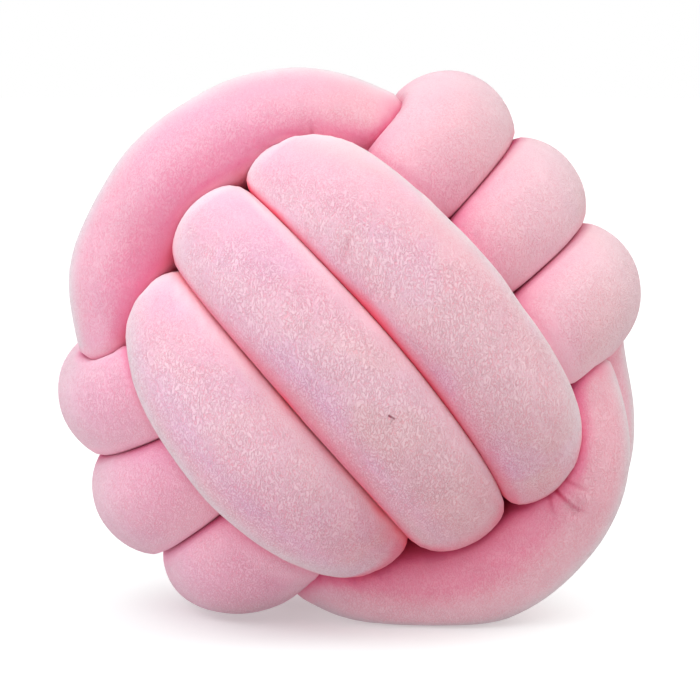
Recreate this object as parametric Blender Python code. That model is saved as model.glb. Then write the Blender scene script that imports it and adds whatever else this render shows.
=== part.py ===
"""Knot cushion: one long stuffed velour tube wound into a ball.

The tube is wound as three bands of three turns, each band square to the other two.
The solid is the outside of that winding: inside, the passes press together and fill it.
Millimetres until the mesh is made. The ball's own axes are the three band directions:
u runs along the front turns, v across them, w straight out of the front.
"""

import math
from collections import namedtuple

import bmesh
import bpy
import numpy as np

# Sizes of the winding, from the ball's centre to the tube's middle line.
REACH = 112.0       # where a turn shows on the outside
DEPTH = 80.0        # where it runs inside, under the next band
PITCH_OUT = 55.0    # turn to turn on the outside
PITCH_IN = 42.0     # turn to turn inside
SIDE_DROP = 6.0     # side turns of a band lie this much lower than its middle one
SQUARENESS = 2.5    # 2 would make each turn an ellipse

# The stuffed tube.
GIRTH = 182.0       # round the tube
MOST_SWELL = 1.22   # how far its radius may grow where neighbours squeeze it
LEAST_SWELL = 0.94
PRESSED_IN = 0.6    # how far touching passes are pressed into each other
SOFTNESS = 10       # a lower number rounds the creases more
OWN_STRETCH = 12.0  # a point presses on no part of the tube nearer to it than this

# How it stands.
ROLL = 48.9         # degrees the front turns slope down to the right
FLAT_DEPTH = 10.0   # how much of the lowest passes is pressed flat

# The mesh.
STEP = 4.0          # spacing of the rings along the tube
SIDES = 28
SKIN_CELL = 2.2     # cell in which the passes are joined into one skin
TRIANGLES = 11400
STATIONS = (-78, -55, -30, 0, 30, 55, 78)   # degrees round an outside pass
CORNER_STOP = 40    # a pass that turns a corner keeps only the stations short of this

# Axis of the ball (u, v, w = 0, 1, 2) for each band: out, along and across its turns.
BANDS = {"front": (2, 0, 1), "lobes": (1, 2, 0), "arcs": (0, 1, 2)}

# One row for each pass seen on the outside, in winding order.
# side: which face. heading: way it runs. lane: place in its band.
# The rest are unevenness read off the photo, in millimetres. lift: further out.
# lean: moved across its band. bow: more of that at its middle. slide: moved along
# itself. start, end: longer ends.
Pass = namedtuple("Pass", "name band side heading lane lift lean bow slide start end")
PASSES = [
    Pass("front low", "front", 1, -1, -1, 0, 6, -5, 0, -12, -8),
    Pass("back low", "front", -1, 1, -1, 0, 0, 0, 0, 0, 0),
    Pass("front middle", "front", 1, -1, 0, 0, -3, 6, 0, 11, 10),
    Pass("back middle", "front", -1, 1, 0, 0, 0, 0, 0, 0, 0),
    Pass("front high", "front", 1, -1, 1, 0, -12, 9, 0, 19, 7),
    Pass("back high", "front", -1, 1, 1, 0, 0, 0, 0, 0, 0),
    Pass("right lobe low", "lobes", 1, 1, 1, -1, 6, -9, 0, 0, 0),
    Pass("left lobe low", "lobes", -1, -1, 1, 11, -4, -14, 0, 0, 0),
    Pass("right lobe middle", "lobes", 1, 1, 0, 0, 4, -3, 0, 0, 0),
    Pass("left lobe middle", "lobes", -1, -1, 0, 7, -4, -7, 0, 0, 0),
    Pass("right lobe high", "lobes", 1, 1, -1, 1, 5, 3, 0, 0, 0),
    Pass("left lobe high", "lobes", -1, -1, -1, -6, 3, -6, 0, 0, 0),
    Pass("upper arc back", "arcs", -1, 1, -1, 0, 0, 0, 0, 0, 0),
    Pass("lower arc back", "arcs", 1, -1, -1, 0, 0, 0, 0, 0, 0),
    Pass("upper arc middle", "arcs", -1, 1, 0, -3, 0, 0, 0, 0, 0),
    Pass("lower arc middle", "arcs", 1, -1, 0, 8, 0, 0, 10, 0, 0),
    Pass("upper arc front", "arcs", -1, 1, 1, 6, 0, 0, 2, 0, -1),
    Pass("lower arc front", "arcs", 1, -1, 1, 15, 0, 0, 6, -12, -5),
]

# Where the winding changes band it goes round a back corner, and where it closes
# it passes through the core.
TURNS = {
    "back high": [(70, 74, -78)],
    "left lobe high": [(-74, -78, -70)],
    "lower arc front": [
        (14, -48, 44), (-8, -14, 22), (-12, 10, -10),
        (8, 8, -26), (36, -14, -22), (62, -34, -2),
    ],
}
CORNER_TURNS = ("back high", "left lobe high")


def on_turn(degrees, out, along):
    """A point of a squared ellipse."""
    c = math.cos(math.radians(degrees))
    s = math.sin(math.radians(degrees))
    power = 2 / SQUARENESS
    return out * abs(c) ** power, along * math.copysign(abs(s) ** power, s)


def in_ball(band, out, along, across):
    point = [0.0, 0.0, 0.0]
    for axis, value in zip(BANDS[band], (out, along, across)):
        point[axis] = value
    return point


def pass_points(row, first, last):
    """Points of one outside pass. first and last: a corner comes before or after it."""
    points = []
    for degrees in STATIONS:
        if (first and degrees < -CORNER_STOP) or (last and degrees > CORNER_STOP):
            continue
        longer = row.start if degrees < 0 else row.end
        reach = REACH - SIDE_DROP * abs(row.lane) + row.lift
        out, along = on_turn(degrees, reach, DEPTH + longer)
        outside = math.cos(math.radians(degrees)) ** 2
        pitch = PITCH_IN + (PITCH_OUT - PITCH_IN) * outside
        points.append(in_ball(row.band, row.side * out, row.heading * along + row.slide,
                              row.lane * pitch + row.lean + row.bow * outside))
    return points


def inside_point(row, after):
    """The middle of the hidden pass that leads from one outside pass to the next."""
    along = row.heading * (DEPTH + (row.end + after.start) / 2)
    across = (row.lane + after.lane) / 2 * PITCH_IN + (row.lean + after.lean) / 2
    return in_ball(row.band, 0.0, along + (row.slide + after.slide) / 2, across)


def winding_points():
    points = []
    for i, row in enumerate(PASSES):
        after = PASSES[(i + 1) % len(PASSES)]
        points += pass_points(row, PASSES[i - 1].name in CORNER_TURNS, row.name in CORNER_TURNS)
        points += TURNS.get(row.name) or [inside_point(row, after)]
    return np.array(points, float)


def smooth_loop(points):
    """A closed curve through the points, resampled evenly and eased."""
    curve = []
    for i in range(len(points)):
        p0, p1, p2, p3 = (points[(i + k) % len(points)] for k in (-1, 0, 1, 2))
        t1 = math.sqrt(np.linalg.norm(p1 - p0))
        t2 = t1 + math.sqrt(np.linalg.norm(p2 - p1))
        t3 = t2 + math.sqrt(np.linalg.norm(p3 - p2))
        t = np.linspace(t1, t2, 12, endpoint=False)[:, None]
        a1 = p0 + (p1 - p0) * t / t1
        a2 = p1 + (p2 - p1) * (t - t1) / (t2 - t1)
        a3 = p2 + (p3 - p2) * (t - t2) / (t3 - t2)
        b1 = a1 + (a2 - a1) * t / t2
        b2 = a2 + (a3 - a2) * (t - t1) / (t3 - t1)
        curve.append(b1 + (b2 - b1) * (t - t1) / (t2 - t1))
    curve = np.vstack(curve)
    ends = np.vstack([curve, curve[:1]])
    run = np.concatenate([[0], np.cumsum(np.linalg.norm(np.diff(ends, axis=0), axis=1))])
    places = np.arange(round(run[-1] / STEP)) * run[-1] / round(run[-1] / STEP)
    curve = np.stack([np.interp(places, run, ends[:, k]) for k in range(3)], axis=1)
    return eased(curve, 4)


def eased(values, times):
    for _ in range(times):
        values = values / 2 + (np.roll(values, 1, 0) + np.roll(values, -1, 0)) / 4
    return values


def carried(side, start, end, tangent, next_tangent):
    """The side direction taken one step along the curve without twisting."""
    step = end - start
    side = side - 2 * (step @ side) / (step @ step) * step
    tangent = tangent - 2 * (step @ tangent) / (step @ step) * step
    turn = next_tangent - tangent
    length = turn @ turn
    return side - 2 * (turn @ side) / length * turn if length > 1e-12 else side


def sideways(middle):
    """Two directions square to the middle line at each point, closing without a jump."""
    count = len(middle)
    tangents = np.roll(middle, -1, 0) - np.roll(middle, 1, 0)
    tangents /= np.linalg.norm(tangents, axis=1)[:, None]
    sides = np.zeros_like(middle)
    sides[0] = np.cross(tangents[0], (0.3, 0.5, 0.81))
    sides[0] /= np.linalg.norm(sides[0])
    for i in range(1, count):
        sides[i] = carried(sides[i - 1], middle[i - 1], middle[i], tangents[i - 1], tangents[i])
    back = carried(sides[-1], middle[-1], middle[0], tangents[-1], tangents[0])
    twist = math.atan2(back @ np.cross(tangents[0], sides[0]), back @ sides[0])
    turned = (-twist * np.arange(count) / count)[:, None]
    sides = np.cos(turned) * sides + np.sin(turned) * np.cross(tangents, sides)
    return sides, np.cross(tangents, sides)


def free_lengths(centres, rays):
    """How far each ray runs before it is nearer to another stretch of the tube."""
    found = np.empty(rays.shape[:2])
    for i, centre in enumerate(centres):
        away = centres - centre
        square = (away ** 2).sum(axis=1)
        towards = rays[i] @ away.T
        meets = (towards > 1e-6) & (square > OWN_STRETCH ** 2)
        lengths = np.where(meets, square / (2 * np.where(meets, towards, 1)), 1e9)
        found[i] = lengths.min(axis=1)
    return found


def pressed(free, radius):
    """Ray lengths of a round tube pressed flat against its neighbours."""
    limit = np.maximum(free + PRESSED_IN, 1.0)
    return (radius[:, None] ** -SOFTNESS + limit ** -SOFTNESS) ** (-1 / SOFTNESS)


def tube_radius(centres, rays, free):
    """The radius at each ring that keeps the girth of the cloth."""
    start = GIRTH / (2 * math.pi)
    radius = np.full(len(centres), start)
    for _ in range(12):
        skin = centres[:, None] + rays * pressed(free, radius)[:, :, None]
        girth = np.linalg.norm(np.roll(skin, -1, 1) - skin, axis=2).sum(axis=1)
        radius = np.clip(radius * GIRTH / girth, LEAST_SWELL * start, MOST_SWELL * start)
    return eased(radius, 8)


def skin_of_tube():
    middle = smooth_loop(winding_points())
    first, second = sideways(middle)
    angles = (np.arange(SIDES) * 2 * math.pi / SIDES)[None, :, None]
    rays = np.cos(angles) * first[:, None] + np.sin(angles) * second[:, None]
    free = free_lengths(middle, rays)
    radius = tube_radius(middle, rays, free)
    return middle[:, None] + rays * pressed(free, radius)[:, :, None]


def rolled(points):
    """From the ball's own axes to the way it lies in the photo."""
    roll = math.radians(ROLL)
    u_axis = (math.cos(roll), 0, -math.sin(roll))
    v_axis = (math.sin(roll), 0, math.cos(roll))
    return points @ np.array([u_axis, v_axis, (0, -1, 0)])


def tube_object(skin):
    rings = len(skin)
    faces = []
    for i in range(rings):
        here = i * SIDES
        there = (i + 1) % rings * SIDES
        for j in range(SIDES):
            k = (j + 1) % SIDES
            faces.append((here + j, here + k, there + k, there + j))
    mesh = bpy.data.meshes.new("wound_tube")
    mesh.from_pydata((skin.reshape(-1, 3) / 1000).tolist(), [], faces)
    tube = bpy.data.objects.new("wound_tube", mesh)
    bpy.context.scene.collection.objects.link(tube)
    return tube


def result_of(tube):
    graph = bpy.context.evaluated_depsgraph_get()
    return bpy.data.meshes.new_from_object(tube.evaluated_get(graph))


def joined(tube):
    """The passes joined where they press together."""
    join = tube.modifiers.new("join", "REMESH")
    join.mode = "VOXEL"
    join.voxel_size = SKIN_CELL / 1000
    tube.data = result_of(tube)
    tube.modifiers.remove(join)


def outside_only(tube):
    """Deletes the small shells left between the passes inside."""
    shape = bmesh.new()
    shape.from_mesh(tube.data)
    top = max(shape.verts, key=lambda vert: vert.co.z)
    found = {top}
    to_visit = [top]
    while to_visit:
        vert = to_visit.pop()
        for edge in vert.link_edges:
            other = edge.other_vert(vert)
            if other not in found:
                found.add(other)
                to_visit.append(other)
    bmesh.ops.delete(shape, geom=[v for v in shape.verts if v not in found], context="VERTS")
    bmesh.ops.triangulate(shape, faces=shape.faces)
    shape.to_mesh(tube.data)
    shape.free()


def thinned(tube):
    """Fewer triangles, most of them kept where the skin bends."""
    thin = tube.modifiers.new("thin", "DECIMATE")
    thin.ratio = TRIANGLES / len(tube.data.polygons)
    tube.data = result_of(tube)
    tube.modifiers.remove(thin)


def set_on_floor(mesh):
    """Presses the lowest passes flat and centres the box over the origin."""
    points = np.array([vert.co for vert in mesh.vertices])
    points[:, 2] = np.maximum(points[:, 2] - points[:, 2].min() - FLAT_DEPTH / 1000, 0)
    middle = (points.min(axis=0) + points.max(axis=0)) / 2
    points[:, :2] -= middle[:2]
    mesh.vertices.foreach_set("co", points.ravel())
    mesh.update()


def widened_flats(mesh):
    """Joins the small triangles of each flat spot into a few large ones."""
    shape = bmesh.new()
    shape.from_mesh(mesh)
    flats = {face for face in shape.faces if all(vert.co.z == 0 for vert in face.verts)}
    inner = [edge for edge in shape.edges if flats.issuperset(edge.link_faces)]
    bmesh.ops.dissolve_edges(shape, edges=inner, use_verts=True)
    bmesh.ops.triangulate(shape, faces=[face for face in shape.faces if len(face.verts) > 3])
    shape.to_mesh(mesh)
    shape.free()


def velour():
    material = bpy.data.materials.new("pink_velour")
    material.use_nodes = True
    shader = material.node_tree.nodes["Principled BSDF"]
    shader.inputs["Base Color"].default_value = (0.85, 0.42, 0.52, 1)
    shader.inputs["Roughness"].default_value = 0.9
    shader.inputs["Sheen Weight"].default_value = 0.5
    return material


for old in list(bpy.data.objects):
    bpy.data.objects.remove(old, do_unlink=True)

knot = tube_object(rolled(skin_of_tube()))
joined(knot)
outside_only(knot)
thinned(knot)
set_on_floor(knot.data)
widened_flats(knot.data)
knot.name = "knot_cushion"
knot.data.name = "knot_cushion"
knot.data.materials.clear()
knot.data.materials.append(velour())
knot.data.shade_smooth()
knot.data.set_sharp_from_angle(angle=math.radians(60))
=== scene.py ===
"""Knot cushion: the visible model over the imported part. Metres, +Z up, -Y is the front."""

import math
from collections import namedtuple

import bpy
import numpy as np
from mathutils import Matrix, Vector, noise
from mathutils.bvhtree import BVHTree


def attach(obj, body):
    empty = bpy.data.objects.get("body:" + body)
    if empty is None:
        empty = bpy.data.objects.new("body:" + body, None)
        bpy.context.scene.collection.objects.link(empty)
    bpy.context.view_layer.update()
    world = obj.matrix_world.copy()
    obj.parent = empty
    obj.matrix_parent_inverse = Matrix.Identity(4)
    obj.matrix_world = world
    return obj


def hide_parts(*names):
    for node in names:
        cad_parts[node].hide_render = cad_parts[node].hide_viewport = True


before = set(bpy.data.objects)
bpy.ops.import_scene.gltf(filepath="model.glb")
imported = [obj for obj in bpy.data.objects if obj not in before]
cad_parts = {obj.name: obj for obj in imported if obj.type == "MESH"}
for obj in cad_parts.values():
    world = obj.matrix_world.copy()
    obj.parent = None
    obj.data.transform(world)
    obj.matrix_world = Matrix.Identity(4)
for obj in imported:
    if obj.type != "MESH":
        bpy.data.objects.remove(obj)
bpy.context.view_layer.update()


# The stuffed tube. One tube of pink velour about 60 mm thick, filled with fibre and
# closed on itself in the core. It is wound as three bands of three turns, each band
# square to the other two, and its passes press flat where they meet. Sizes in mm.

REACH = 112.0       # ball's centre to the tube's middle line, on the outside
DEPTH = 80.0        # the same inside, under the next band
PITCH_OUT = 55.0    # turn to turn on the outside
PITCH_IN = 42.0     # turn to turn inside
SIDE_DROP = 6.0     # side turns of a band lie this much lower than its middle one
SQUARENESS = 2.5    # 2 would make each turn an ellipse
STATIONS = (-78, -55, -30, 0, 30, 55, 78)   # degrees round an outside pass
CORNER_STOP = 40    # a pass that turns a corner keeps only the stations short of this
ROLL = 48.9         # degrees the front turns slope down to the right
FLAT_DEPTH = 10.0   # how much of the lowest passes is pressed flat by the floor
FLAT_EDGE = 3.0     # how softly the cloth leaves the floor
METRE = 1000.0      # the scene is in metres, this section in mm

# Axis of the ball (u, v, w = 0, 1, 2) for each band: out, along and across its turns.
BANDS = {"front": (2, 0, 1), "lobes": (1, 2, 0), "arcs": (0, 1, 2)}

# One row for each pass seen on the outside, in winding order.
# side: which face. heading: way it runs. lane: place in its band.
# The rest is the unevenness of a ball wound by hand. lift: further out.
# lean: moved across its band. bow: more of that at its middle. slide: moved along
# itself. start, end: longer ends.
Pass = namedtuple("Pass", "name band side heading lane lift lean bow slide start end")
PASSES = [
    Pass("front low", "front", 1, -1, -1, 0, 6, -5, 0, -12, -8),
    Pass("back low", "front", -1, 1, -1, 0, 0, 0, 0, 0, 0),
    Pass("front middle", "front", 1, -1, 0, 0, -3, 6, 0, 11, 10),
    Pass("back middle", "front", -1, 1, 0, 0, 0, 0, 0, 0, 0),
    Pass("front high", "front", 1, -1, 1, 0, -12, 9, 0, 19, 7),
    Pass("back high", "front", -1, 1, 1, 0, 0, 0, 0, 0, 0),
    Pass("right lobe low", "lobes", 1, 1, 1, -1, 6, -9, 0, 0, 0),
    Pass("left lobe low", "lobes", -1, -1, 1, 11, -4, -14, 0, 0, 0),
    Pass("right lobe middle", "lobes", 1, 1, 0, 0, 4, -3, 0, 0, 0),
    Pass("left lobe middle", "lobes", -1, -1, 0, 7, -4, -7, 0, 0, 0),
    Pass("right lobe high", "lobes", 1, 1, -1, 1, 5, 3, 0, 0, 0),
    Pass("left lobe high", "lobes", -1, -1, -1, -6, 3, -6, 0, 0, 0),
    Pass("upper arc back", "arcs", -1, 1, -1, 0, 0, 0, 0, 0, 0),
    Pass("lower arc back", "arcs", 1, -1, -1, 0, 0, 0, 0, 0, 0),
    Pass("upper arc middle", "arcs", -1, 1, 0, -3, 0, 0, 0, 0, 0),
    Pass("lower arc middle", "arcs", 1, -1, 0, 10, 0, 0, 10, 0, 0),
    Pass("upper arc front", "arcs", -1, 1, 1, 8, 0, 0, 2, 0, -1),
    Pass("lower arc front", "arcs", 1, -1, 1, 15, 0, 0, 6, -12, -5),
]

# Where the winding changes band it goes round a back corner, and where it closes
# it passes through the core.
TURNS = {
    "back high": [(70, 74, -78)],
    "left lobe high": [(-74, -78, -70)],
    "lower arc front": [
        (14, -48, 44), (-8, -14, 22), (-12, 10, -10),
        (8, 8, -26), (36, -14, -22), (62, -34, -2),
    ],
}
CORNER_TURNS = ("back high", "left lobe high")


def on_turn(degrees, out, along):
    """A point of a squared ellipse."""
    c = math.cos(math.radians(degrees))
    s = math.sin(math.radians(degrees))
    power = 2 / SQUARENESS
    return out * abs(c) ** power, along * math.copysign(abs(s) ** power, s)


def in_ball(band, out, along, across):
    """A point of a band, in the ball's own axes."""
    point = [0.0, 0.0, 0.0]
    for axis, value in zip(BANDS[band], (out, along, across)):
        point[axis] = value
    return point


def pass_points(row, first, last):
    """Points of one outside pass. first and last: a corner comes before or after it."""
    points = []
    for degrees in STATIONS:
        if (first and degrees < -CORNER_STOP) or (last and degrees > CORNER_STOP):
            continue
        longer = row.start if degrees < 0 else row.end
        reach = REACH - SIDE_DROP * abs(row.lane) + row.lift
        out, along = on_turn(degrees, reach, DEPTH + longer)
        outside = math.cos(math.radians(degrees)) ** 2
        pitch = PITCH_IN + (PITCH_OUT - PITCH_IN) * outside
        points.append(in_ball(row.band, row.side * out, row.heading * along + row.slide,
                              row.lane * pitch + row.lean + row.bow * outside))
    return points


def inside_point(row, after):
    """The middle of the hidden pass that leads from one outside pass to the next."""
    along = row.heading * (DEPTH + (row.end + after.start) / 2)
    across = (row.lane + after.lane) / 2 * PITCH_IN + (row.lean + after.lean) / 2
    return in_ball(row.band, 0.0, along + (row.slide + after.slide) / 2, across)


def winding_points():
    """Points all the way round the winding, and the number of the pass each belongs to."""
    points = []
    owners = []
    for i, row in enumerate(PASSES):
        after = PASSES[(i + 1) % len(PASSES)]
        points += pass_points(row, PASSES[i - 1].name in CORNER_TURNS, row.name in CORNER_TURNS)
        points += TURNS.get(row.name) or [inside_point(row, after)]
        owners += [i] * (len(points) - len(owners))
    return np.array(points, float), np.array(owners)


def eased(values, times):
    """Values round a loop, each drawn halfway to the mean of its neighbours, some times."""
    for _ in range(times):
        values = values / 2 + (np.roll(values, 1, 0) + np.roll(values, -1, 0)) / 4
    return values


RING_STEP = 3.6     # spacing of the rings of the mesh along the tube
CURVE_STEPS = 12    # from one point of the winding to the next
LINE_EASING = 3     # times the middle line is eased


def smooth_loop(points, owners):
    """A closed curve through the points, resampled evenly and eased, and its owners."""
    curve = []
    for i in range(len(points)):
        p0, p1, p2, p3 = (points[(i + k) % len(points)] for k in (-1, 0, 1, 2))
        t1 = math.sqrt(np.linalg.norm(p1 - p0))
        t2 = t1 + math.sqrt(np.linalg.norm(p2 - p1))
        t3 = t2 + math.sqrt(np.linalg.norm(p3 - p2))
        t = np.linspace(t1, t2, CURVE_STEPS, endpoint=False)[:, None]
        a1 = p0 + (p1 - p0) * t / t1
        a2 = p1 + (p2 - p1) * (t - t1) / (t2 - t1)
        a3 = p2 + (p3 - p2) * (t - t2) / (t3 - t2)
        b1 = a1 + (a2 - a1) * t / t2
        b2 = a2 + (a3 - a2) * (t - t1) / (t3 - t1)
        curve.append(b1 + (b2 - b1) * (t - t1) / (t2 - t1))
    curve = np.vstack(curve)
    ends = np.vstack([curve, curve[:1]])
    run = np.concatenate([[0], np.cumsum(np.linalg.norm(np.diff(ends, axis=0), axis=1))])
    rings = round(run[-1] / RING_STEP)
    places = np.arange(rings) * run[-1] / rings
    curve = np.stack([np.interp(places, run, ends[:, k]) for k in range(3)], axis=1)
    nearest = np.searchsorted(run, places, side="right") - 1
    return eased(curve, LINE_EASING), np.repeat(owners, CURVE_STEPS)[nearest]


NO_TURN = 1e-12     # a turn of the curve smaller than this is none


def carried(side, start, end, tangent, next_tangent):
    """The side direction taken one step along the curve without twisting."""
    step = end - start
    side = side - 2 * (step @ side) / (step @ step) * step
    tangent = tangent - 2 * (step @ tangent) / (step @ step) * step
    turn = next_tangent - tangent
    length = turn @ turn
    return side - 2 * (turn @ side) / length * turn if length > NO_TURN else side


FIRST_WAY = (0.3, 0.5, 0.81)    # any way that isn't along the tube at its first ring


def sideways(middle):
    """Two directions square to the middle line at each point, closing without a jump."""
    count = len(middle)
    tangents = np.roll(middle, -1, 0) - np.roll(middle, 1, 0)
    tangents /= np.linalg.norm(tangents, axis=1)[:, None]
    sides = np.zeros_like(middle)
    sides[0] = np.cross(tangents[0], FIRST_WAY)
    sides[0] /= np.linalg.norm(sides[0])
    for i in range(1, count):
        sides[i] = carried(sides[i - 1], middle[i - 1], middle[i], tangents[i - 1], tangents[i])
    back = carried(sides[-1], middle[-1], middle[0], tangents[-1], tangents[0])
    twist = math.atan2(back @ np.cross(tangents[0], sides[0]), back @ sides[0])
    turned = (-twist * np.arange(count) / count)[:, None]
    sides = np.cos(turned) * sides + np.sin(turned) * np.cross(tangents, sides)
    return sides, np.cross(tangents, sides)


OWN_STRETCH = 12.0      # a point presses on no part of the tube nearer to it than this
JUST_TOWARDS = 1e-6     # a ray that leans less than this towards a place never meets it
NO_NEIGHBOUR = 1e4      # how far a ray runs that meets nothing


def free_lengths(centres, owners, rays):
    """How far each ray runs before it is nearer to each of the passes."""
    starts = np.flatnonzero(np.diff(owners, prepend=-1))
    found = np.empty(rays.shape[:2] + (len(starts),))
    for i, centre in enumerate(centres):
        away = centres - centre
        square = (away ** 2).sum(axis=1)
        towards = rays[i] @ away.T
        meets = (towards > JUST_TOWARDS) & (square > OWN_STRETCH ** 2)
        lengths = np.where(meets, square / (2 * np.where(meets, towards, 1)), NO_NEIGHBOUR)
        found[i] = np.minimum.reduceat(lengths, starts, axis=1)
    return found


PRESSED_IN = 0.7    # how far each of two passes that touch runs past halfway between them
SEAM_PRESS = 18     # a lower number rounds the edges of the seams more
CORNER_PRESS = 6    # and this those of the corners, where three passes meet
LEAST_REACH = 1.0   # no ray of the tube is shorter


def soft_least(lengths, press):
    """The least of some lengths, less where two of them are nearly the same."""
    return (lengths ** -press).sum(axis=-1) ** (-1 / press)


def pressed(free, radius):
    """Ray lengths of a round tube pressed flat against its neighbours."""
    limit = np.maximum(soft_least(free, CORNER_PRESS) + PRESSED_IN, LEAST_REACH)
    return soft_least(np.stack([limit, radius * np.ones_like(limit)], axis=-1), SEAM_PRESS)


GIRTH = 182.0       # round the tube
MOST_SWELL = 1.22   # how far its radius may grow where neighbours squeeze it
LEAST_SWELL = 0.94
GIRTH_ROUNDS = 12   # times the radius is tried against the girth
RADIUS_EASING = 6   # times the radius is eased along the tube


def tube_radius(centres, rays, free):
    """The radius at each ring that keeps the girth of the cloth."""
    start = GIRTH / (2 * math.pi)
    radius = np.full(len(centres), start)
    for _ in range(GIRTH_ROUNDS):
        skin = centres[:, None] + rays * pressed(free, radius[:, None])[:, :, None]
        girth = np.linalg.norm(np.roll(skin, -1, 1) - skin, axis=2).sum(axis=1)
        radius = np.clip(radius * GIRTH / girth, LEAST_SWELL * start, MOST_SWELL * start)
    return eased(radius, RADIUS_EASING)


LUMP_SIZES = ((46.0, 0.9), (19.0, 0.3))     # width and height of the lumps of the filling


def lumps_at(points):
    """How far the uneven filling pushes the cloth out at each point."""
    heights = np.zeros(len(points))
    for width, height in LUMP_SIZES:
        heights += [height * noise.noise(Vector(point / width)) for point in points]
    return heights


# The skin: rings of points round the middle line, each as far out as the passes beside it
# and the lumps of the filling let the cloth go.
SIDES = 60          # points round each ring

middle, owners = smooth_loop(*winding_points())
first_side, second_side = sideways(middle)
angles = (np.arange(SIDES) * 2 * math.pi / SIDES)[None, :, None]
rays = np.cos(angles) * first_side[:, None] + np.sin(angles) * second_side[:, None]
free = free_lengths(middle, owners, rays)
radius = tube_radius(middle, rays, free)[:, None]
round_skin = middle[:, None] + rays * radius[:, :, None]
lumps = lumps_at(round_skin.reshape(-1, 3)).reshape(rays.shape[:2])
skin = middle[:, None] + rays * pressed(free, radius + lumps)[:, :, None]
skin = skin.reshape(-1, 3)

# The ball as it lies: the front turns sloped, its middle over the origin, and its lowest
# passes below the floor by what is pressed flat.
roll = math.radians(ROLL)
ball_axes = np.array([
    (math.cos(roll), 0, -math.sin(roll)),
    (math.sin(roll), 0, math.cos(roll)),
    (0, -1, 0),
])
skin = skin @ ball_axes
ball_centre = -(skin.min(axis=0) + skin.max(axis=0)) / 2
ball_centre[2] = -skin[:, 2].min() - FLAT_DEPTH
skin += ball_centre

# Small folds and puckers on the front, where a pass is drawn in under another: the band
# it is on, its two ends, and how deep the cloth is drawn in at each of them.
Fold = namedtuple("Fold", "band start end depth end_depth")
FOLDS = [
    Fold("arcs", (102.0, -87.7, 71.5), (111.5, -87.4, 62.5), 3.0, 1.3),
    Fold("arcs", (111.5, -87.4, 62.5), (119.5, -83.3, 58.5), 1.3, 0.1),
    Fold("arcs", (100.3, -88.0, 67.0), (102.7, -89.2, 56.0), 1.5, 0.2),
    Fold("arcs", (108.0, -89.3, 75.5), (122.0, -83.8, 68.5), 1.5, 0.2),
    Fold("arcs", (-13.7, -89.8, 237.0), (-15.4, -83.1, 248.0), 2.6, 0.2),
    Fold("front", (5.5, -134.2, 196.0), (2.0, -133.8, 185.0), 0.7, 0.4),
]
FOLD_REACH = 2.6    # half the width of the valley
LIP_SHARE = 0.35    # the cloth beside it stands up by this share of its depth
LIP_PLACE = 2.2     # and this many reaches from its bottom
FROM_THE_FRONT = np.array((1.0, 0.15, 1.0))     # a fold is placed as it is seen from there

outward = rays.reshape(-1, 3) @ ball_axes
bands = np.array([PASSES[owner].band for owner in owners])
for fold in FOLDS:
    start, end = (np.array(place) * FROM_THE_FRONT for place in (fold.start, fold.end))
    from_start = skin * FROM_THE_FRONT - start
    along = np.clip(from_start @ (end - start) / ((end - start) @ (end - start)), 0, 1)
    beside = np.linalg.norm(from_start - along[:, None] * (end - start), axis=1) / FOLD_REACH
    drawn_in = np.exp(-beside ** 2) - LIP_SHARE * np.exp(-(beside - LIP_PLACE) ** 2)
    drawn_in *= fold.depth + (fold.end_depth - fold.depth) * along
    drawn_in *= np.repeat(bands == fold.band, SIDES)
    skin -= drawn_in[:, None] * outward

# The floor presses the lowest passes flat.
skin[:, 2] = (skin[:, 2] + np.sqrt(skin[:, 2] ** 2 + FLAT_EDGE ** 2)) / 2
skin[:, 2] -= skin[:, 2].min()

tube_faces = []
for ring in range(len(middle)):
    here = ring * SIDES
    there = (ring + 1) % len(middle) * SIDES
    for j in range(SIDES):
        k = (j + 1) % SIDES
        tube_faces.append((here + j, here + k, there + k, there + j))
tube_mesh = bpy.data.meshes.new("velour_tube")
tube_mesh.from_pydata((skin / METRE).tolist(), [], tube_faces)
tube_mesh.shade_smooth()
velour_tube = bpy.data.objects.new("velour_tube", tube_mesh)
bpy.context.scene.collection.objects.link(velour_tube)

# How much of the sky the passes beside it take from each place on the cloth, from 0 to 1.
# It is found at every third ring and every second side, and spread to the rest.
SHADE_REACH = 55.0          # mm
SHADE_RAYS = 40
GOLDEN_ANGLE = 2.399963     # radians from one ray to the next, which spreads them evenly
CLEAR_OF_CLOTH = 0.001      # metres, so that a ray doesn't meet the place it starts from
RINGS_APART = 3
SIDES_APART = 2

tree = BVHTree.FromPolygons((skin / METRE).tolist(), tube_faces)
facing = np.empty(len(skin) * 3)
tube_mesh.vertex_normals.foreach_get("vector", facing)
facing = facing.reshape(len(middle), SIDES, 3)
grid = skin.reshape(len(middle), SIDES, 3) / METRE
turns = np.arange(SHADE_RAYS) * GOLDEN_ANGLE
heights = 1 - 2 * (np.arange(SHADE_RAYS) + 0.5) / SHADE_RAYS
around = np.sqrt(1 - heights ** 2)
sphere = np.stack([around * np.cos(turns), around * np.sin(turns), heights], axis=1)
rings_tried = np.arange(0, len(middle), RINGS_APART)
sides_tried = np.arange(0, SIDES, SIDES_APART)
shaded = np.zeros((len(rings_tried), len(sides_tried)))
for i, ring in enumerate(rings_tried):
    for j, side in enumerate(sides_tried):
        place = grid[ring, side]
        out = facing[ring, side]
        start = Vector(place + out * CLEAR_OF_CLOTH)
        ways = sphere + out
        ways /= np.linalg.norm(ways, axis=1)[:, None]
        hits = [tree.ray_cast(start, Vector(way), SHADE_REACH / METRE)[0] for way in ways]
        shaded[i, j] = sum(hit is not None for hit in hits) / SHADE_RAYS


def filled_in(values, places, count):
    """Values at every place of a ring, from those at some places down the first axis."""
    return np.stack([np.interp(np.arange(count), places, column, period=count)
                     for column in values.T], axis=1)


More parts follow.
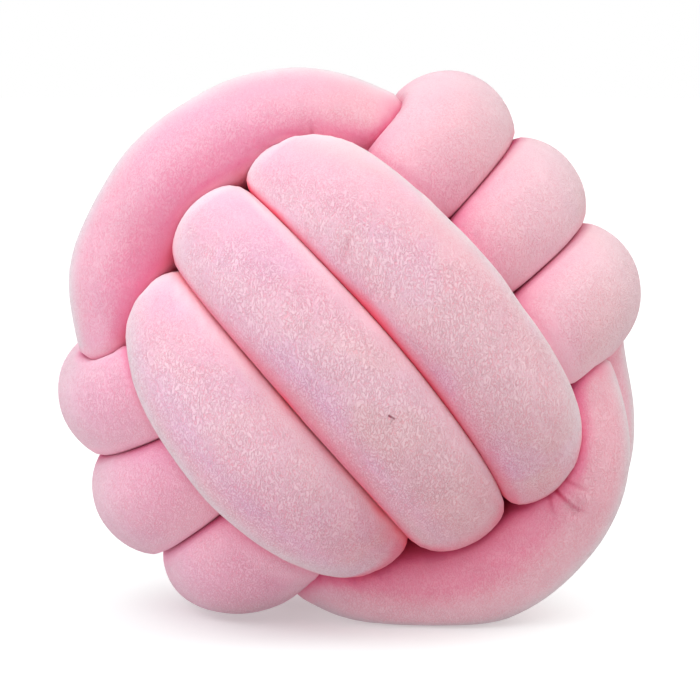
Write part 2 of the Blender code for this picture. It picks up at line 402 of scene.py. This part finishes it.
shaded = filled_in(shaded, rings_tried, len(middle))
shaded = filled_in(shaded.T, sides_tried, SIDES).T

BAND_BLEND = 28     # times the bands' dyes are eased into each other where they join

front_share, arc_share, lobe_share = (
    eased((bands == band)[:, None].astype(float), BAND_BLEND)
    for band in ("front", "arcs", "lobes"))


def by_band(front, arc, lobe):
    """One number from those of the three bands, each held between 0 and 1."""
    return (front_share * np.clip(front, 0, 1) + arc_share * np.clip(arc, 0, 1)
            + lobe_share * np.clip(lobe, 0, 1))


def rise(values, low, high):
    """0 up to the low value, 1 from the high one on, and even between them."""
    return np.clip((values - low) / (high - low), 0, 1)


def hump(values, top, reach):
    """1 at the top, and down evenly to 0 this far to both sides of it."""
    return np.clip(1 - np.abs(values - top) / reach, 0, 1)


def on_cloth(name, values):
    """Keeps a number for every point of the mesh, for the material to read."""
    numbers = tube_mesh.attributes.new(name, "FLOAT", "POINT")
    numbers.data.foreach_set("value", values.ravel().astype(np.float32))


# How each place lies: facing up, turned under, tucked in below a pass, how far from the
# ball's middle as seen from the front, and facing in towards the front turns.
upward = facing[:, :, 2]
under = rise(upward, 0.5, -0.5)
tucked = rise(upward, 0, 0.6)
beside_front = (grid - ball_centre / METRE) * (1, 0, 1)
from_middle = np.linalg.norm(beside_front, axis=2)
beside_front /= from_middle[:, :, None]
towards_front = -(facing * beside_front).sum(axis=2)
to_flank = -(facing * ball_axes[1]).sum(axis=2)

# Each band has its own depth of pink. Over it a deeper, redder pink is painted where shade and
# the light bounced between the passes fall. The front turns are palest; they are painted deeper
# where they turn under, most in their creases, and a little on their tops. The arcs are painted
# deepest, most on their sides that face in towards the front turns, and the lobes deeper near
# the front turns; both are darker where they are tucked in below another pass.
front_depth = 1.3 * shaded ** 0.85 * (under + under ** 2) * rise(upward, 2 / 3, 0)
front_depth += 0.1 * rise(upward, 0, 1) + 0.06 * under
arc_depth = 0.23 + 0.38 * rise(towards_front, -0.47, -0.12) + 0.54 * rise(shaded, 0.1, 1)
lobe_depth = np.interp(grid[:, :, 0], (0.0, 0.05, 0.095), (0.17, 0.27, 0.02))
lobe_depth += 0.3 * rise(from_middle, 0.128, 0.088) + 0.3 * shaded * tucked
on_cloth("deep", by_band(front_depth, arc_depth, lobe_depth))

# Which band a place is on, how far it lies to the right side of the ball, where a warmer
# light is painted in, and the lower flanks, where a cooler, lilac light is painted in.
for name, shares in (("on_front", (1, 0, 0)), ("on_arcs", (0, 1, 0)), ("on_lobes", (0, 0, 1))):
    on_cloth(name, by_band(*shares) * np.ones_like(shaded))
on_cloth("to_right", rise(grid[:, :, 0], -0.096, 0.064))
on_cloth("lower_flank", 0.8 * hump(to_flank, 0.5, 0.4))

# Painted shade, dark in the creases and where a pass is tucked under another; painted
# light, paler where light falls on the pile or bounces up onto it; and how far a place is
# out of the creases.
on_cloth("crease_shade", by_band(
    (shaded - 0.45) / 0.3 * (0.1 + 1.4 * under),
    (shaded - 0.4) / 0.3 * tucked * rise(towards_front, -0.35, 0.15),
    (shaded - 0.32) / 0.45 * tucked))
on_cloth("painted_light", by_band(
    (shaded - 0.08) / 0.22 * rise(upward, -0.1, 0.9) + 0.5 * hump(upward, 0.12, 0.5),
    0.6 * rise(upward, -0.25, -0.65),
    0.35 * tucked * (1 - shaded / 0.2) + 0.5 * rise(upward, 0.1, -0.9) * rise(shaded, 0, 0.1)))
on_cloth("open", np.clip(1 - shaded * (0.5 + 3.5 * under), 0, 1))

# How ruffled the pile is: least on top and in the creases, most on the front turns.
on_cloth("ruffled", 0.22 + 0.78 * by_band(
    rise(upward, 1.05, 0.4) - 1.2 * shaded,
    np.minimum(1.1 - upward, 0.65) - shaded,
    np.minimum(1.3 - upward, 0.75) - shaded))


# The cloth of the tube: a knitted velour with a short soft pile. The pile lies in small
# curls. Light and shade are painted into its colour: paler where light catches it and at
# its edges, and a deeper pink where shade falls between the passes and in their creases.

velour = bpy.data.materials.new("pink_velour")
velour.use_nodes = True
velour_nodes = velour.node_tree.nodes
velour_links = velour.node_tree.links
cloth = velour_nodes["Principled BSDF"]


def fed(socket, value):
    """Sets a socket, or links it when the value is another socket."""
    if isinstance(value, bpy.types.NodeSocket):
        velour_links.new(value, socket)
    else:
        socket.default_value = value


def grain(size, detail=2.0, distortion=0.0, place=None):
    """Noise from 0 to 1 whose lumps are about this many millimetres across."""
    node = velour_nodes.new("ShaderNodeTexNoise")
    fed(node.inputs["Vector"], place or cloth_place)
    fed(node.inputs["Scale"], METRE / size)
    fed(node.inputs["Detail"], detail)
    fed(node.inputs["Distortion"], distortion)
    return node.outputs["Fac"]


def sum_of(work, first, second=0.0):
    """The outcome of one sum on two numbers."""
    node = velour_nodes.new("ShaderNodeMath")
    node.operation = work
    for socket, value in zip(node.inputs, (first, second)):
        fed(socket, value)
    return node.outputs["Value"]


def spread(value, low, high, to_low=0.0, to_high=1.0):
    """The value taken from one range to another, with soft ends."""
    node = velour_nodes.new("ShaderNodeMapRange")
    node.interpolation_type = "SMOOTHSTEP"
    for socket, number in zip(node.inputs, (value, low, high, to_low, to_high)):
        fed(socket, number)
    return node.outputs["Result"]


def dyed(amount, first, second, how="MIX"):
    """One colour laid over another by an amount from 0 to 1."""
    node = velour_nodes.new("ShaderNodeMix")
    node.data_type = "RGBA"
    node.blend_type = how
    fed(node.inputs[0], amount)
    fed(node.inputs[6], first)
    fed(node.inputs[7], second)
    return node.outputs[2]


CURL_LENGTH = 2.0   # times as long as a curl is wide
CURL_SIZE = 1.1     # mm
GROOVE = 0.10       # how wide the grooves between the curls are, as a share of the noise


def brushed(degrees):
    """Places on the cloth drawn out along strokes that lean this far from upright."""
    node = velour_nodes.new("ShaderNodeMapping")
    fed(node.inputs["Vector"], cloth_place)
    fed(node.inputs["Rotation"], (0.0, math.radians(degrees), 0.0))
    fed(node.inputs["Scale"], (1.0, 1.0, 1 / CURL_LENGTH))
    return node.outputs["Vector"]


def curled(place):
    """Rows of small curls, from 0 in the thin grooves between them to 1 on top."""
    wave = sum_of("ABSOLUTE", sum_of("SUBTRACT", grain(CURL_SIZE, 1.0, 0.6, place), 0.5))
    return spread(wave, 0.0, GROOVE)


def kept(name):
    """The number that on_cloth keeps under this name."""
    node = velour_nodes.new("ShaderNodeAttribute")
    node.attribute_name = name
    return node.outputs["Fac"]


def turned_into(work, first, second):
    """The outcome of one sum on two vectors, or on a vector and a number."""
    node = velour_nodes.new("ShaderNodeVectorMath")
    node.operation = work
    fed(node.inputs[0], first)
    fed(node.inputs[3] if work == "SCALE" else node.inputs[1], second)
    return node.outputs["Value" if work in ("DOT_PRODUCT", "DISTANCE") else "Vector"]


def line_on_cloth(band, start, end, width, depth, end_depth):
    """A line between two places in mm on a band: how deep it is, down to 0 beside it."""
    start, end = (np.array(place) * FROM_THE_FRONT / METRE for place in (start, end))
    run = end - start
    from_start = turned_into("SUBTRACT", seen_place, start.tolist())
    along = turned_into("DOT_PRODUCT", from_start, (run / (run @ run)).tolist())
    along = sum_of("MAXIMUM", sum_of("MINIMUM", along, 1.0), 0.0)
    nearest = turned_into("SCALE", run.tolist(), along)
    beside = turned_into("DISTANCE", from_start, nearest)
    line = sum_of("MULTIPLY", spread(beside, width / METRE, 0.0), kept("on_" + band))
    return sum_of("MULTIPLY", line, spread(along, 0.0, 1.0, depth, end_depth))


COOL_PINK = (0.94, 0.54, 0.69, 1)       # the left side, with a cooler light painted in
WARM_PINK = (0.93, 0.58, 0.645, 1)      # the right side, with a warmer light painted in
LILAC_PINK = (0.90, 0.54, 0.75, 1)      # painted cool light on the lower flanks of the front turns, in patches
DEEP_WARM = (0.90, 0.30, 0.40, 1)       # painted shade where the front turns turn under
DEEP_COOL = (0.86, 0.20, 0.38, 1)       # the lobes' deeper pink and the painted shade on them
DEEP_ARC = (0.90, 0.185, 0.35, 1)       # the arcs' deeper pink and the painted shade on them
CREASE_SHADE_WARM = (0.98, 0.13, 0.20, 1)    # painted shade in the creases of the front turns
CREASE_SHADE_COOL = (0.62, 0.12, 0.24, 1)    # painted shade in the creases of the others
PAINTED_LIGHT_PINK = (1.0, 0.70, 0.78, 1)      # painted light, where light falls most on the pile
SHEEN_PALE = (0.84, 0.76, 0.80, 1)      # the pile seen edge-on, out of the creases
HOLLOW_SHADE = (0.98, 0.76, 0.77, 1)    # between the curls of the pile
TIP_PINK = (1.0, 0.78, 0.80, 1)         # where the ends of the pile show
CLOUD_SHADE = (0.95, 0.92, 0.94, 1)     # patches as wide as a finger
FOLD_SHADE_PINK = (0.62, 0.07, 0.15, 1)
THREAD_RED = (0.30, 0.06, 0.09, 1)

cloth_place = velour_nodes.new("ShaderNodeTexCoord").outputs["Object"]
seen_place = turned_into("MULTIPLY", cloth_place, tuple(FROM_THE_FRONT))
on_front = kept("on_front")
on_lobes = kept("on_lobes")
# A warmer light is painted in on the right side and a cooler one on the left, in random patches.
warmth = sum_of("ADD", kept("to_right"), spread(grain(75, 1.0), 0.38, 0.62, -0.3, 0.3))
pile_colour = dyed(warmth, COOL_PINK, WARM_PINK)
# A cooler, lilac light is painted in on the lower flanks of the front turns, in random patches.
lilac_patches = sum_of("ADD", kept("lower_flank"), spread(grain(38, 1.0), 0.45, 0.65, -0.3, 0.4))
pile_colour = dyed(sum_of("MULTIPLY", lilac_patches, on_front), pile_colour, LILAC_PINK)
# Painted shade: a deeper, redder pink where shade and the light bounced between the passes fall.
deep_colour = dyed(kept("on_arcs"), dyed(on_front, DEEP_COOL, DEEP_WARM), DEEP_ARC)
pile_colour = dyed(kept("deep"), pile_colour, deep_colour)
# Painted light: paler where light falls most on the pile or bounces up onto it.
pile_colour = dyed(kept("painted_light"), pile_colour, PAINTED_LIGHT_PINK)

edge_on = velour_nodes.new("ShaderNodeLayerWeight").outputs["Facing"]
sheen = sum_of("MULTIPLY", spread(edge_on, 0.35, 0.9), kept("open"))
sheen = sum_of("MULTIPLY", sheen, spread(on_lobes, 0.0, 1.0, 0.9, 0.45))
pile_colour = dyed(sheen, pile_colour, SHEEN_PALE)

# The curls lean one way or the other in patches, and the ends of the pile lie over them.
LEAN = 62           # degrees from upright
PILE_SIZE = 0.7     # mm
NAP_SHARE = 0.6     # how much the curls and the ends of the pile each count
ruffled = kept("ruffled")
lie = spread(grain(30, 1.0), 0.45, 0.55)
curls = sum_of("ADD", sum_of("MULTIPLY", curled(brushed(-LEAN)), lie),
               sum_of("MULTIPLY", curled(brushed(LEAN)), sum_of("SUBTRACT", 1.0, lie)))
cloth_height = sum_of("MULTIPLY", sum_of("ADD", curls, grain(PILE_SIZE, 1.0)), NAP_SHARE)
hollows = sum_of("MULTIPLY", spread(cloth_height, 0.6, 0.2), ruffled)
pile_colour = dyed(hollows, pile_colour, HOLLOW_SHADE, "MULTIPLY")
tips = sum_of("MULTIPLY", spread(cloth_height, 0.7, 1.0), ruffled)
tips = sum_of("MULTIPLY", tips, spread(kept("deep"), 0.0, 1.0, 0.42, 0.1))
pile_colour = dyed(tips, pile_colour, TIP_PINK)
clouds = sum_of("MULTIPLY", spread(grain(16, 3.0), 0.35, 0.65), 0.5)
pile_colour = dyed(clouds, pile_colour, CLOUD_SHADE, "MULTIPLY")
# Painted shade, dark in the creases and where a pass is tucked under another.
pile_colour = dyed(kept("crease_shade"), pile_colour, dyed(on_front, CREASE_SHADE_COOL, CREASE_SHADE_WARM))

# Painted shade along the crisp bottom of each fold, which the bump also sinks, and a dark
# thread end caught in the pile of the middle front turn.
FOLD_LINE = 2.0     # mm, half its width
FOLD_SHADE = 0.36     # how dark the painted shade is for each mm of the fold's depth
THREAD = [
    ((23.8, -144.8, 113.9), (26.1, -144.2, 112.5), 0.9, 1.0, 0.7),
    ((25.5, -144.2, 112.7), (23.3, -144.3, 107.5), 0.8, 0.4, 0.1),
]
fold_lines = 0.0
for fold in FOLDS:
    fold_lines = sum_of("MAXIMUM", fold_lines, line_on_cloth(
        fold.band, fold.start, fold.end, FOLD_LINE,
        FOLD_SHADE * fold.depth, FOLD_SHADE * fold.end_depth))
thread = 0.0
for stretch in THREAD:
    thread = sum_of("MAXIMUM", thread, line_on_cloth("front", *stretch))
pile_colour = dyed(fold_lines, pile_colour, FOLD_SHADE_PINK)
pile_colour = dyed(thread, pile_colour, THREAD_RED)
fed(cloth.inputs["Base Color"], pile_colour)

NAP_DEPTH = 0.0005  # metres from the grooves to the curls
NAP_STRENGTH = 0.9
pile_bump = velour_nodes.new("ShaderNodeBump")
fed(pile_bump.inputs["Height"], sum_of("SUBTRACT", cloth_height, fold_lines))
fed(pile_bump.inputs["Strength"], sum_of("MULTIPLY", ruffled, NAP_STRENGTH))
fed(pile_bump.inputs["Distance"], NAP_DEPTH)
fed(cloth.inputs["Normal"], pile_bump.outputs["Normal"])
fed(cloth.inputs["Roughness"], 0.95)
fed(cloth.inputs["Specular IOR Level"], 0.0)
fed(cloth.inputs["Sheen Weight"], 0.1)
fed(cloth.inputs["Sheen Roughness"], 0.35)
fed(cloth.inputs["Sheen Tint"], (1.0, 0.92, 0.96, 1))

tube_mesh.materials.append(velour)
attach(velour_tube, "root")
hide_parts("knot_cushion")


# The studio: a plain white floor that runs out of sight, an even white surround, soft
# lamps above and to both sides, and low lamps that light the ball alone.

FLOOR_SIZE = 40.0
SHADOW_MIDDLE = (0.0, -0.06, 0.0)       # under the ball's front
SHADOW_REACH = (0.05, 0.17)             # metres from there, over which the floor clears
SHADOW_CLEARED = (0.26, 0.78)           # how much of it is plain white at either end
CLEAR_LIGHT = 1.2                       # of the plain white
WHITE_FELT = (0.58, 0.58, 0.58, 1)      # the floor as the ball gets its light back from it
WHITE_SEEN = (0.85, 0.91, 0.90, 1)      # and as the camera sees it
OWN_LIGHT_FELT = 0.26                   # the even light that comes off it, the same way
OWN_LIGHT_SEEN = 0.08

half = FLOOR_SIZE / 2
floor_mesh = bpy.data.meshes.new("studio_floor")
floor_mesh.from_pydata([(-half, -half, 0), (half, -half, 0), (half, half, 0), (-half, half, 0)],
                       [], [(0, 1, 2, 3)])
studio_floor = bpy.data.objects.new("studio_floor", floor_mesh)
bpy.context.scene.collection.objects.link(studio_floor)
floor_white = bpy.data.materials.new("floor_white")
floor_white.use_nodes = True
paint = floor_white.node_tree
floor_shader = paint.nodes["Principled BSDF"]
floor_shader.inputs["Roughness"].default_value = 1.0
floor_shader.inputs["Specular IOR Level"].default_value = 0.0
floor_shader.inputs["Emission Color"].default_value = (1, 1, 1, 1)
is_seen = paint.nodes.new("ShaderNodeLightPath").outputs["Is Camera Ray"]

shown_white = paint.nodes.new("ShaderNodeMix")
shown_white.data_type = "RGBA"
shown_white.inputs[6].default_value = WHITE_FELT
shown_white.inputs[7].default_value = WHITE_SEEN
own_light = paint.nodes.new("ShaderNodeMapRange")
own_light.inputs["To Min"].default_value = OWN_LIGHT_FELT
own_light.inputs["To Max"].default_value = OWN_LIGHT_SEEN

# Only the soft shadow close under the ball is left for the camera to see.
from_shadow = paint.nodes.new("ShaderNodeVectorMath")
from_shadow.operation = "DISTANCE"
from_shadow.inputs[1].default_value = SHADOW_MIDDLE
cleared = paint.nodes.new("ShaderNodeMapRange")
cleared.interpolation_type = "SMOOTHSTEP"
cleared.inputs["From Min"].default_value, cleared.inputs["From Max"].default_value = SHADOW_REACH
cleared.inputs["To Min"].default_value, cleared.inputs["To Max"].default_value = SHADOW_CLEARED
seen_cleared = paint.nodes.new("ShaderNodeMath")
seen_cleared.operation = "MULTIPLY"
clear_white = paint.nodes.new("ShaderNodeEmission")
clear_white.inputs["Color"].default_value = (1, 1, 1, 1)
clear_white.inputs["Strength"].default_value = CLEAR_LIGHT
as_seen = paint.nodes.new("ShaderNodeMixShader")
floor_place = paint.nodes.new("ShaderNodeTexCoord").outputs["Object"]
for leaving, arriving in (
        (is_seen, shown_white.inputs[0]),
        (shown_white.outputs[2], floor_shader.inputs["Base Color"]),
        (is_seen, own_light.inputs["Value"]),
        (own_light.outputs[0], floor_shader.inputs["Emission Strength"]),
        (floor_place, from_shadow.inputs[0]),
        (from_shadow.outputs["Value"], cleared.inputs["Value"]),
        (is_seen, seen_cleared.inputs[0]),
        (cleared.outputs[0], seen_cleared.inputs[1]),
        (seen_cleared.outputs["Value"], as_seen.inputs[0]),
        (floor_shader.outputs[0], as_seen.inputs[1]),
        (clear_white.outputs[0], as_seen.inputs[2]),
        (as_seen.outputs[0], paint.nodes["Material Output"].inputs["Surface"])):
    paint.links.new(leaving, arriving)
floor_mesh.materials.append(floor_white)

# The surround is white to the camera and gives the ball hardly any light.
SURROUND_SEEN = 1.0
SURROUND_FELT = 0.02
surround = bpy.data.worlds.new("studio_white")
bpy.context.scene.world = surround
surround.use_nodes = True
air = surround.node_tree
seen = air.nodes["Background"]
seen.inputs["Color"].default_value = (1, 1, 1, 1)
seen.inputs["Strength"].default_value = SURROUND_SEEN
felt = air.nodes.new("ShaderNodeBackground")
felt.inputs["Color"].default_value = (1, 1, 1, 1)
felt.inputs["Strength"].default_value = SURROUND_FELT
either = air.nodes.new("ShaderNodeMixShader")
air.links.new(air.nodes.new("ShaderNodeLightPath").outputs["Is Camera Ray"], either.inputs[0])
air.links.new(felt.outputs[0], either.inputs[1])
air.links.new(seen.outputs[0], either.inputs[2])
air.links.new(either.outputs[0], air.nodes["World Output"].inputs["Surface"])


LAMP_WIDTH = 60     # degrees of the sky that a lamp takes up
LAMP_AWAY = 2.0


def soft_light(name, round_from_front, height, strength, colour, lights=None):
    """A wide soft lamp: degrees to the right of the front and up, and what it lights."""
    lamp = bpy.data.lights.new(name, "SUN")
    lamp.angle = math.radians(LAMP_WIDTH)
    lamp.energy = strength
    lamp.color = colour
    hung = bpy.data.objects.new(name, lamp)
    bpy.context.scene.collection.objects.link(hung)
    turn = math.radians(round_from_front)
    tilt = math.radians(height)
    towards = Vector((math.sin(turn) * math.cos(tilt), -math.cos(turn) * math.cos(tilt),
                      math.sin(tilt)))
    hung.location = towards * LAMP_AWAY
    hung.rotation_euler = towards.to_track_quat("Z", "Y").to_euler()
    hung.light_linking.receiver_collection = lights


# The low lamps are flagged off the floor, so that they throw no shadow along it.
off_the_floor = bpy.data.collections.new("off_the_floor")
off_the_floor.objects.link(velour_tube)
soft_light("front_top", 0, 60, 1.88, (1.0, 0.99, 1.0))
soft_light("upper_left", -60, 60, 0.90, (0.98, 0.99, 1.0))
soft_light("left", -70, 5, 1.56, (0.96, 0.965, 1.0), off_the_floor)
soft_light("right", 90, 45, 1.04, (1.0, 0.98, 0.91))
soft_light("back_right", 120, 20, 0.45, (1.0, 0.99, 0.97), off_the_floor)
soft_light("back_left", -120, 20, 0.40, (0.98, 0.99, 1.0), off_the_floor)

bpy.context.scene.view_settings.view_transform = "Standard"


# The camera: a long lens nearly level with the ball and a little to the right of the
# front band, as the photo was taken.

AZIMUTH = 2.0
ELEVATION = 6.0
AWAY = 1.4          # metres from the middle of the winding
PIXEL = 0.513e-3    # metres to a pixel there
FRAME = 700         # pixels
AIM_RIGHT = 1       # pixels from the middle of the winding to the middle of the frame
AIM_UP = -3
azimuth = math.radians(AZIMUTH)
elevation = math.radians(ELEVATION)
to_right = Vector((math.cos(azimuth), math.sin(azimuth), 0))
to_camera = Vector((math.sin(azimuth) * math.cos(elevation),
                    -math.cos(azimuth) * math.cos(elevation), math.sin(elevation)))
to_top = to_camera.cross(to_right)
lens = bpy.data.cameras.new("photo_camera")
lens.sensor_width = 36.0
lens.lens = lens.sensor_width * AWAY / (FRAME * PIXEL)
lens.clip_start = 0.05
lens.clip_end = 200
photo_camera = bpy.data.objects.new("photo_camera", lens)
bpy.context.scene.collection.objects.link(photo_camera)
looked_at = Vector(ball_centre / METRE) + (AIM_RIGHT * to_right + AIM_UP * to_top) * PIXEL
photo_camera.location = looked_at + AWAY * to_camera
photo_camera.rotation_euler = to_camera.to_track_quat("Z", "Y").to_euler()
bpy.context.scene.camera = photo_camera
